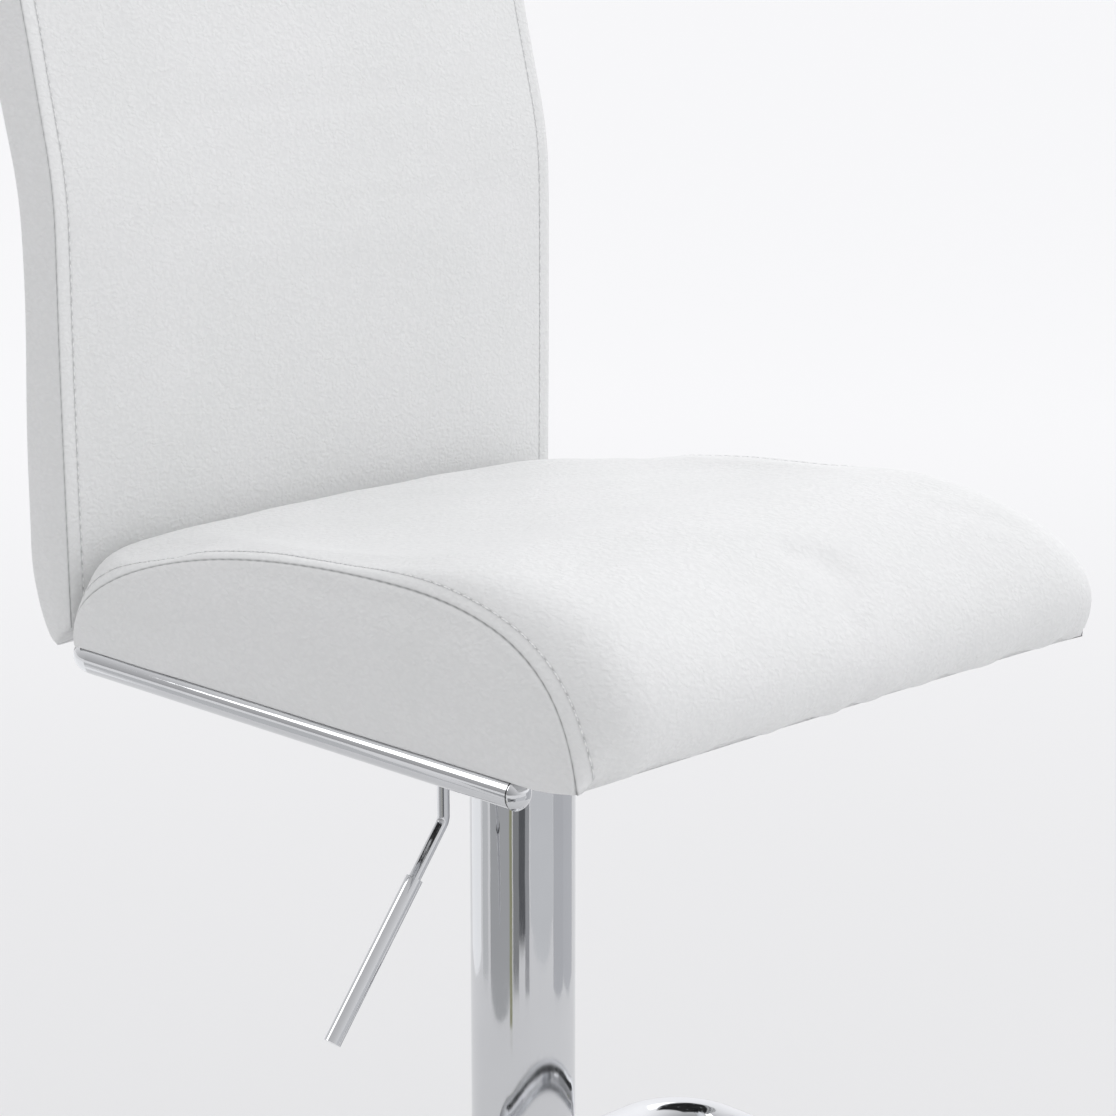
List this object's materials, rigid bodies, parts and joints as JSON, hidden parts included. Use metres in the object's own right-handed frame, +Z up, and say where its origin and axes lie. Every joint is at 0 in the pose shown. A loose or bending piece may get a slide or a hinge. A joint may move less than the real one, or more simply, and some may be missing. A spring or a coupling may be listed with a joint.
{
  "type": "swivel bar stool",
  "caption": "Padded swivel bar stool with a low backrest, gas lift and lever, chromed column, footrest and round base.",
  "frame": {"origin": "centre of the base on the floor, on the column's axis, with the lift at its lowest setting", "axes": "+Z up, the sitter faces -Y, -X is the sitter's right, which is the lever's side"},
  "size_m": [0.41, 0.4989, 0.9926],
  "materials": {
    "chromed_steel": "bright chrome plate on steel",
    "white_faux_leather": "PVC-coated fabric with a fine leather grain, low sheen, over foam",
    "black_painted_steel": "satin black paint",
    "plain_steel": "bare or zinc-plated steel",
    "zinc_fasteners": "zinc plate",
    "aluminium_parts": "turned",
    "black_plastic": "moulded, matte",
    "black_rubber": "matte",
    "plywood": "birch plywood",
    "dust_sheet": "thin non-woven black sheet"
  },
  "bodies": {
    "stand": {"base_shell": "chromed_steel", "base_hub": "black_painted_steel", "ballast_plate": "plain_steel", "floor_ring": "black_rubber", "column_collar": "black_plastic", "stand_tube": "chromed_steel", "tube_foot": "plain_steel", "guide_bush": "black_plastic", "bearing_lower_washer": "plain_steel", "bearing_cage": "black_plastic", "bearing_balls": "plain_steel", "footrest_hoop": "chromed_steel", "footrest_collar": "chromed_steel", "footrest_set_screws": "zinc_fasteners"},
    "rod": {"piston_rod": "plain_steel", "piston": "aluminium_parts", "bump_stop": "black_rubber", "bearing_upper_washer": "plain_steel", "rod_clip": "plain_steel", "clip_washer": "plain_steel"},
    "seat": {"column_sleeve": "chromed_steel", "seat_tube": "chromed_steel", "tube_cap_right": "chromed_steel", "tube_cap_left": "chromed_steel", "seat_cushion": "white_faux_leather", "backrest_cushion": "white_faux_leather", "mechanism_plate": "black_painted_steel", "lever_bracket": "black_painted_steel", "taper_socket": "black_painted_steel", "crossbar_front": "black_painted_steel", "crossbar_rear": "black_painted_steel", "gas_cylinder": "black_painted_steel", "back_upright_right": "plain_steel", "back_upright_left": "plain_steel", "back_top_tube": "plain_steel", "lever_pivot_pin": "plain_steel", "pivot_pin_clips": "plain_steel", "plate_bolts": "zinc_fasteners", "bolt_washers": "zinc_fasteners", "tee_nuts": "zinc_fasteners", "crossbar_screws": "zinc_fasteners", "panel_screws": "zinc_fasteners", "valve_block": "aluminium_parts", "rod_guide": "aluminium_parts", "sleeve_cap": "black_plastic", "sleeve_guide_ring": "black_plastic", "seat_board": "plywood", "back_panel": "plywood", "dust_cover": "dust_sheet"},
    "lever": {"lever_rod": "chromed_steel", "lever_barrel": "black_painted_steel", "lever_grip": "chromed_steel"},
    "valve_pin": {"release_pin": "plain_steel"}
  },
  "joints": [
    {"name": "swivel", "type": "hinge", "parent": "stand", "child": "rod", "pos_m": [0, 0, 0.03], "axis": [0, 0, 1], "continuous": true},
    {"name": "lift", "type": "slide", "parent": "rod", "child": "seat", "axis": [0, 0, 1], "range_m": [0, 0.21]},
    {"name": "lever", "type": "hinge", "parent": "seat", "child": "lever", "pos_m": [-0.04, 0, 0.5177], "axis": [0, 1, 0], "range_deg": [0, 6], "stiffness_Nm_per_rad": 2, "springref_deg": -11.46},
    {"name": "valve_pin", "type": "slide", "parent": "seat", "child": "valve_pin", "axis": [0, 0, -1], "range_m": [0, 0.0043], "stiffness_N_per_m": 5, "springref_m": -0.03}
  ],
  "couplings": [
    {"joint": "valve_pin", "follows": "lever", "m_per_rad": 0.04}
  ]
}
